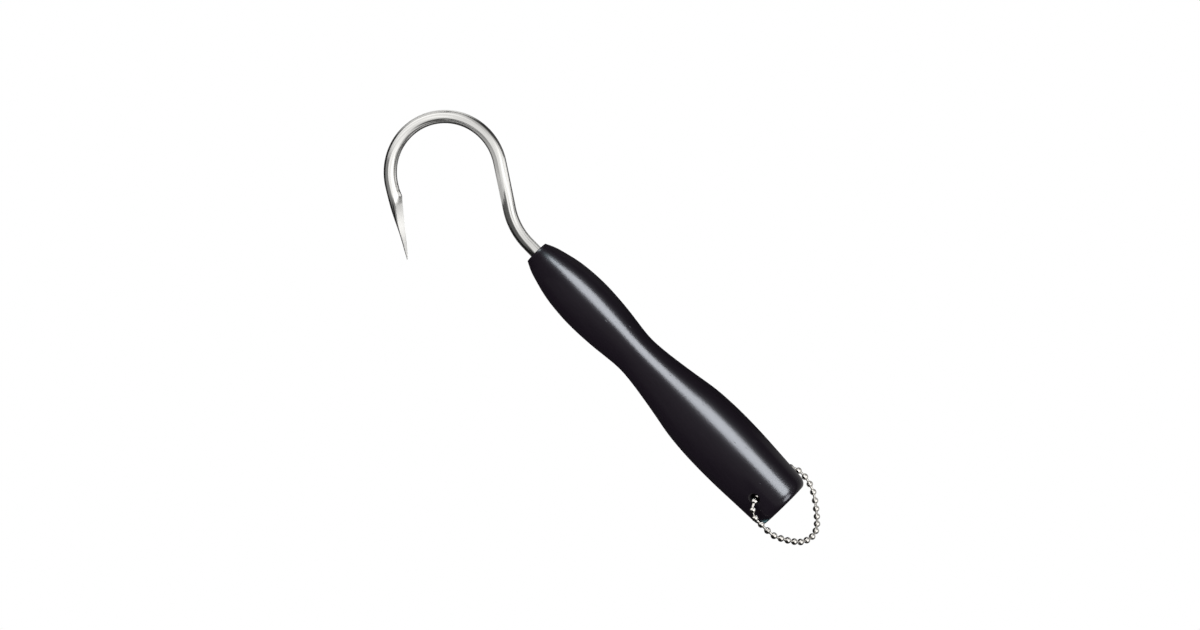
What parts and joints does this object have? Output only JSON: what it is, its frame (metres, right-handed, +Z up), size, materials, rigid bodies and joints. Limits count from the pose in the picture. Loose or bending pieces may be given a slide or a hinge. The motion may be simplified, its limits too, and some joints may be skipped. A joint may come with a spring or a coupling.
{
  "type": "fishing gaff",
  "caption": "Short hand gaff: a black lacquered turned handle with a bent stainless hook, a ground claw point, and a bead chain loop through the butt.",
  "frame": {"origin": "bottom centre of the bounding box, on the table that the gaff lies on", "axes": "+X along the gaff from the butt to the hook's bend, +Y to the side the claw points to, +Z up"},
  "size_m": [0.2096, 0.0544, 0.0257],
  "materials": {
    "lacquered_handle": "turned hardwood under a satin black lacquer",
    "stainless_hook": "polished round stainless rod with a ground claw",
    "nickel_chain": "bright nickel-plated bead chain",
    "spring_clasp": "plain folded spring sheet"
  },
  "bodies": {
    "gaff": {"handle": "lacquered_handle", "hook": "stainless_hook"},
    "chain_at_hole": {"chain_clasp": "spring_clasp", "chain_ball_01": "nickel_chain", "chain_ball_02": "nickel_chain", "chain_ball_03": "nickel_chain", "chain_ball_04": "nickel_chain", "chain_ball_05": "nickel_chain", "chain_ball_06": "nickel_chain", "chain_ball_25": "nickel_chain", "chain_ball_26": "nickel_chain", "chain_ball_27": "nickel_chain", "chain_ball_28": "nickel_chain", "chain_ball_29": "nickel_chain", "chain_ball_30": "nickel_chain", "chain_pin_04": "nickel_chain", "chain_pin_05": "nickel_chain", "chain_pin_06": "nickel_chain", "chain_pin_24": "nickel_chain", "chain_pin_25": "nickel_chain", "chain_pin_26": "nickel_chain"},
    "chain_over_rim": {"chain_ball_07": "nickel_chain", "chain_ball_08": "nickel_chain", "chain_ball_09": "nickel_chain", "chain_ball_24": "nickel_chain", "chain_pin_07": "nickel_chain", "chain_pin_08": "nickel_chain", "chain_pin_09": "nickel_chain", "chain_pin_23": "nickel_chain"},
    "chain_drop": {"chain_ball_10": "nickel_chain", "chain_ball_11": "nickel_chain", "chain_ball_12": "nickel_chain", "chain_ball_23": "nickel_chain", "chain_pin_10": "nickel_chain", "chain_pin_11": "nickel_chain", "chain_pin_12": "nickel_chain", "chain_pin_22": "nickel_chain"},
    "chain_bow": {"chain_ball_13": "nickel_chain", "chain_ball_14": "nickel_chain", "chain_ball_15": "nickel_chain", "chain_ball_16": "nickel_chain", "chain_ball_17": "nickel_chain", "chain_ball_18": "nickel_chain", "chain_ball_19": "nickel_chain", "chain_ball_20": "nickel_chain", "chain_ball_21": "nickel_chain", "chain_ball_22": "nickel_chain", "chain_pin_13": "nickel_chain", "chain_pin_14": "nickel_chain", "chain_pin_15": "nickel_chain", "chain_pin_16": "nickel_chain", "chain_pin_17": "nickel_chain", "chain_pin_18": "nickel_chain", "chain_pin_19": "nickel_chain", "chain_pin_20": "nickel_chain", "chain_pin_21": "nickel_chain"}
  },
  "joints": [
    {"name": "chain_swing", "type": "hinge", "parent": "gaff", "child": "chain_at_hole", "pos_m": [-0.07905, -0.00831, 0.01375], "axis": [0.0366, 0.4976, 0.8666], "range_deg": [-80, 80]},
    {"name": "chain_bend_1", "type": "hinge", "parent": "chain_at_hole", "child": "chain_over_rim", "pos_m": [-0.08566, 0.00216, 0.02355], "axis": [-0.0848, 0.712, 0.697], "range_deg": [-20, 20]},
    {"name": "chain_bend_2", "type": "hinge", "parent": "chain_over_rim", "child": "chain_drop", "pos_m": [-0.09462, 0.00106, 0.02115], "axis": [-0.2748, 0.7151, 0.6427], "range_deg": [-20, 20]},
    {"name": "chain_bend_3", "type": "hinge", "parent": "chain_drop", "child": "chain_bow", "pos_m": [-0.10126, -0.00286, 0.0156], "axis": [-0.4632, 0.6908, 0.5552], "range_deg": [-20, 20]}
  ]
}
